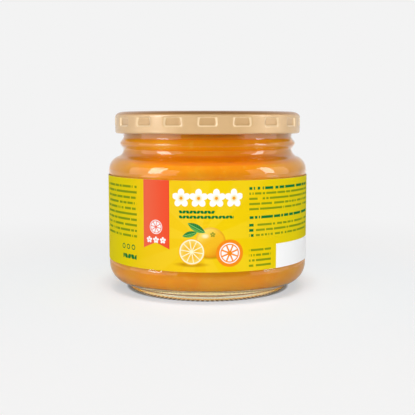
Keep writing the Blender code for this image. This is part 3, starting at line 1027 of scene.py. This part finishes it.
def lay_out_label(mesh, settings):
    """Gives the label its flat layout: the print over most of it, the back and edges beside it."""
    layout = mesh.loops.layers.uv.new("label_layout")
    half_turn = math.pi - settings.seam / 2
    middle_r = settings.outer_r - settings.thickness / 2
    for face in mesh.faces:
        centre = face.calc_center_median()
        facing = math.hypot(centre.x, centre.y) - middle_r
        printed = facing > settings.thickness / 4
        face.material_index = 0 if printed else 1
        low, high = (0.02, 0.72) if printed else (0.76, 0.96)
        for loop in face.loops:
            place = loop.vert.co
            along = 0.5 + 0.49 * math.atan2(place.x, -place.y) / half_turn
            up = (place.z - settings.low_h) / (settings.high_h - settings.low_h)
            loop[layout].uv = (along, low + (high - low) * up)


class PRESERVEJAR_OT_glass(Operator):
    """Builds the glass jar with its ribbed base, bead and threads"""

    bl_idname = "preserve_jar.glass"
    bl_label = "Glass Jar"

    def execute(self, context):
        settings = context.scene.preserve_jar.glass
        mesh = turned(glass_outline(settings), settings.segments)
        raise_threads(mesh, settings)
        rib_base(mesh, settings)
        finished("jar_glass", mesh, [clear_glass(settings)], "jar", "glass_jar", 70.0)
        return {"FINISHED"}


class PRESERVEJAR_OT_preserve(Operator):
    """Fills the jar with preserve, a hair into the wall so that it wets the glass"""

    bl_idname = "preserve_jar.preserve"
    bl_label = "Preserve"

    def execute(self, context):
        settings = context.scene.preserve_jar
        wetting, floor_gap = 0.04 * MM, 0.12 * MM
        climb_r, climb_h = 1.6 * MM, 0.5 * MM
        wall_r = settings.glass.mouth_r + wetting
        top_h = settings.fill.fill_h
        outline = [(wall_r * i / 12, top_h - climb_h) for i in range(12)]
        outline += eased((wall_r - climb_r, top_h - climb_h), (wall_r, top_h), 6)
        outline += chamber_outline(settings.glass, wetting, -floor_gap)
        mesh = turned(outline, settings.fill.segments)
        surface = citrus_jelly(settings.fill)
        finished("preserve_fill", mesh, [surface], "jar", "preserve")
        return {"FINISHED"}


class PRESERVEJAR_OT_label(Operator):
    """Wraps the printed label round the body"""

    bl_idname = "preserve_jar.label"
    bl_label = "Label"

    def execute(self, context):
        settings = context.scene.preserve_jar.label
        outer_r, inner_r = settings.outer_r, settings.outer_r - settings.thickness
        low_h, high_h = settings.low_h, settings.high_h
        outline = [(inner_r, low_h), (outer_r, low_h), (outer_r, high_h), (inner_r, high_h)]
        seam_deg = math.degrees(settings.seam)
        start_deg = FRONT_DEG + 180.0 + seam_deg / 2
        mesh = turned(outline, settings.segments, True, start_deg, 360.0 - seam_deg)
        lay_out_label(mesh, settings)
        surfaces = [label_print(settings), label_paper_back()]
        finished("label_sheet", mesh, surfaces, "jar", "label")
        return {"FINISHED"}


class PRESERVEJAR_OT_lid(Operator):
    """Presses the lid with its pockets, curl and lugs"""

    bl_idname = "preserve_jar.lid"
    bl_label = "Twist-Off Lid"

    def execute(self, context):
        settings = context.scene.preserve_jar.lid
        mesh = turned(lid_outline(settings), POCKETS * settings.rows)
        press_pockets(mesh, settings)
        draw_lugs(mesh, settings)
        bmesh.ops.translate(mesh, verts=mesh.verts, vec=(0.0, 0.0, LID_LOW.z))
        finished("lid_shell", mesh, [gold_lacquer(settings)], "lid", "lid")
        return {"FINISHED"}


class PRESERVEJAR_OT_seal(Operator):
    """Flows the ring of sealing compound into the lid's channel"""

    bl_idname = "preserve_jar.seal"
    bl_label = "Sealing Ring"

    def execute(self, context):
        inner_r, outer_r = 36.4 * MM, SEAL_HIGH.x
        low_h, high_h = SEAL_LOW.z, SEAL_HIGH.z
        edge = 0.25 * MM
        outline = arc(outer_r - edge, low_h + edge, edge, -90.0, 0.0, 4)
        outline += arc(outer_r - 2 * edge, high_h - edge, edge, 30.0, 90.0, 4)
        outline += arc(inner_r + edge, high_h - edge, edge, 90.0, 180.0, 4)
        outline += arc(inner_r + edge, low_h + edge, edge, 180.0, 270.0, 4)
        mesh = turned(outline, 192, closed=True)
        finished("lid_seal", mesh, [sealing_compound()], "seal", "lid_gasket")
        return {"FINISHED"}


def softbox(name, azimuth_deg, elevation_deg, distance, size, radiance, mirrored):
    """An area light that faces the middle of the jar; azimuth 0 is behind the camera, + is right.

    A mirrored one is there for reflections, and the others for what matt surfaces show.
    """
    azimuth, elevation = math.radians(azimuth_deg), math.radians(elevation_deg)
    data = bpy.data.lights.new(name, "AREA")
    data.shape = "RECTANGLE"
    data.size, data.size_y = size
    data.energy = radiance * math.pi * size[0] * size[1]
    light = bpy.data.objects.new(name, data)
    bpy.context.scene.collection.objects.link(light)
    reach = distance * math.cos(elevation)
    height = JAR_MIDDLE_H + distance * math.sin(elevation)
    light.location = (reach * math.sin(azimuth), -reach * math.cos(azimuth), height)
    light.rotation_euler = (math.pi / 2 - elevation, 0.0, azimuth)
    light.visible_glossy = mirrored
    light.visible_transmission = mirrored
    light.visible_diffuse = not mirrored


def studio_world(settings):
    """A pale room: brightest behind the jar, softer overhead and in front of it."""
    world = bpy.data.worlds.new("studio_world")
    world.use_nodes = True
    background = world.node_tree.nodes["Background"]
    _, back, up = axes_of(grown(background, "ShaderNodeTexCoord", {}).outputs["Generated"])
    walls = back.eased(-0.4, 0.5, settings.front_level, settings.back_level)
    mirrored = (settings.ceiling_level - walls) * up.eased(0.55, 0.9) + walls
    soft = up.eased(0.35, 0.95, settings.room_level, settings.room_level * 0.3)
    room = ray_kind(up, "Diffuse") * (soft - mirrored) + mirrored
    level = ray_kind(up, "Camera") * (1.0 - room) + room
    sky = Print(up, (0.0, 0.0, 0.0)).lay(settings.floor_colour, level)
    plug(sky, background.inputs["Color"])
    return world


class PRESERVEJAR_OT_stage(Operator):
    """Lays the floor and sets the lights, the colours of the picture and the camera"""

    bl_idname = "preserve_jar.stage"
    bl_label = "Stage"

    def execute(self, context):
        scene = context.scene
        settings, ribs = scene.preserve_jar.studio, scene.preserve_jar.glass.ribs
        mesh = bmesh.new()
        bmesh.ops.create_circle(mesh, cap_ends=True, radius=6.0, segments=96)
        floor = placed("studio_floor", mesh, [studio_floor(settings, ribs)])
        side = settings.side_level
        softbox("left_softbox", -60.0, 21.0, 0.65, (0.20, 0.40), side, True)
        softbox("right_softbox", 72.0, 21.0, 0.65, (0.15, 0.38), side * 0.85, True)
        softbox("left_glow", -66.0, 14.0, 1.0, (1.25, 0.66), settings.glow_level, True)
        softbox("right_glow", 76.0, 14.0, 1.0, (1.05, 0.66), settings.glow_level * 0.8, True)
        softbox("key_softbox", 0.0, 13.0, 1.2, (1.2, 0.6), settings.key_level, False)
        softbox("top_softbox", 0.0, 80.0, 1.1, (0.25, 0.25), settings.top_level, False)
        scene.world = studio_world(settings)
        scene.view_settings.view_transform = "Standard"
        scene.cycles.max_bounces = 16
        scene.cycles.transmission_bounces = 12
        scene.cycles.glossy_bounces = 6
        camera_data = bpy.data.cameras.new("camera")
        camera_data.lens = camera_data.sensor_width * settings.focal_px / IMAGE_PX
        camera_data.clip_start, camera_data.clip_end = 0.01, 50.0
        camera = bpy.data.objects.new("camera", camera_data)
        camera.location = (0.0, -settings.camera_distance, settings.camera_h)
        camera.rotation_euler = (math.pi / 2 - settings.camera_pitch, 0.0, 0.0)
        scene.collection.objects.link(camera)
        scene.camera = camera
        return {"FINISHED"}


class PRESERVEJAR_PT_panel(Panel):
    """Lists the jar's pieces and their settings"""

    bl_idname = "PRESERVEJAR_PT_panel"
    bl_label = "Preserve Jar"
    bl_space_type = "VIEW_3D"
    bl_region_type = "UI"
    bl_category = "Preserve Jar"

    def draw(self, context):
        settings = context.scene.preserve_jar
        groups = {
            PRESERVEJAR_OT_stage: settings.studio,
            PRESERVEJAR_OT_glass: settings.glass,
            PRESERVEJAR_OT_preserve: settings.fill,
            PRESERVEJAR_OT_label: settings.label,
            PRESERVEJAR_OT_lid: settings.lid,
            PRESERVEJAR_OT_seal: None,
        }
        for operator, group in groups.items():
            box = self.layout.box()
            box.operator(operator.bl_idname)
            for name in group.__annotations__ if group else ():
                box.prop(group, name)


CLASSES = (
    GlassSettings,
    FillSettings,
    LabelSettings,
    LidSettings,
    StudioSettings,
    PreserveJarSettings,
    PRESERVEJAR_OT_stage,
    PRESERVEJAR_OT_glass,
    PRESERVEJAR_OT_preserve,
    PRESERVEJAR_OT_label,
    PRESERVEJAR_OT_lid,
    PRESERVEJAR_OT_seal,
    PRESERVEJAR_PT_panel,
)


def register():
    for item in CLASSES:
        bpy.utils.register_class(item)
    bpy.types.Scene.preserve_jar = PointerProperty(type=PreserveJarSettings)


def unregister():
    del bpy.types.Scene.preserve_jar
    for item in reversed(CLASSES):
        bpy.utils.unregister_class(item)


def main():
    register()
    bpy.ops.preserve_jar.stage()
    bpy.ops.preserve_jar.glass()
    bpy.ops.preserve_jar.preserve()
    bpy.ops.preserve_jar.label()
    bpy.ops.preserve_jar.lid()
    bpy.ops.preserve_jar.seal()


if __name__ == "__main__":
    main()
